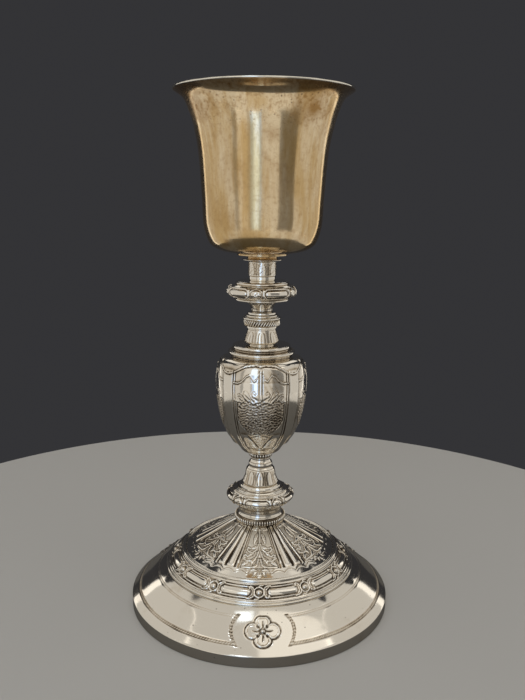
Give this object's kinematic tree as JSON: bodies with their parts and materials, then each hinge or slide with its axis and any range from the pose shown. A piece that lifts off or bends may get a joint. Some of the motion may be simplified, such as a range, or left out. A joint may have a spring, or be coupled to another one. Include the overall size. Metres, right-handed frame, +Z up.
{
  "type": "chalice",
  "caption": "Tall silver chalice with a flared gilt bowl on a knopped stem with an urn-shaped knop, and a round stepped foot with a fluted mound and an ornamented drum.",
  "frame": {"origin": "centre of the foot's underside, on the surface it stands on", "axes": "+Z runs up the stem's axis of turning, which is also the longest extent; -Y is the side that the picture shows"},
  "size_m": [0.1428, 0.1428, 0.275],
  "materials": {
    "silver": "polished silver, engraved and chased, with brown-grey tarnish in the recesses",
    "gilt": "pale worn gilding, polished, lightly pitted and spotted"
  },
  "bodies": {
    "root": {"foot": "silver", "stem_collar": "silver", "lower_knop": "silver", "lower_bell": "silver", "middle_ring": "silver", "urn_knop": "silver", "upper_bell": "silver", "rope_ring": "silver", "spool": "silver", "upper_knop": "silver", "stem_top": "silver", "bowl": "gilt"}
  },
  "joints": []
}
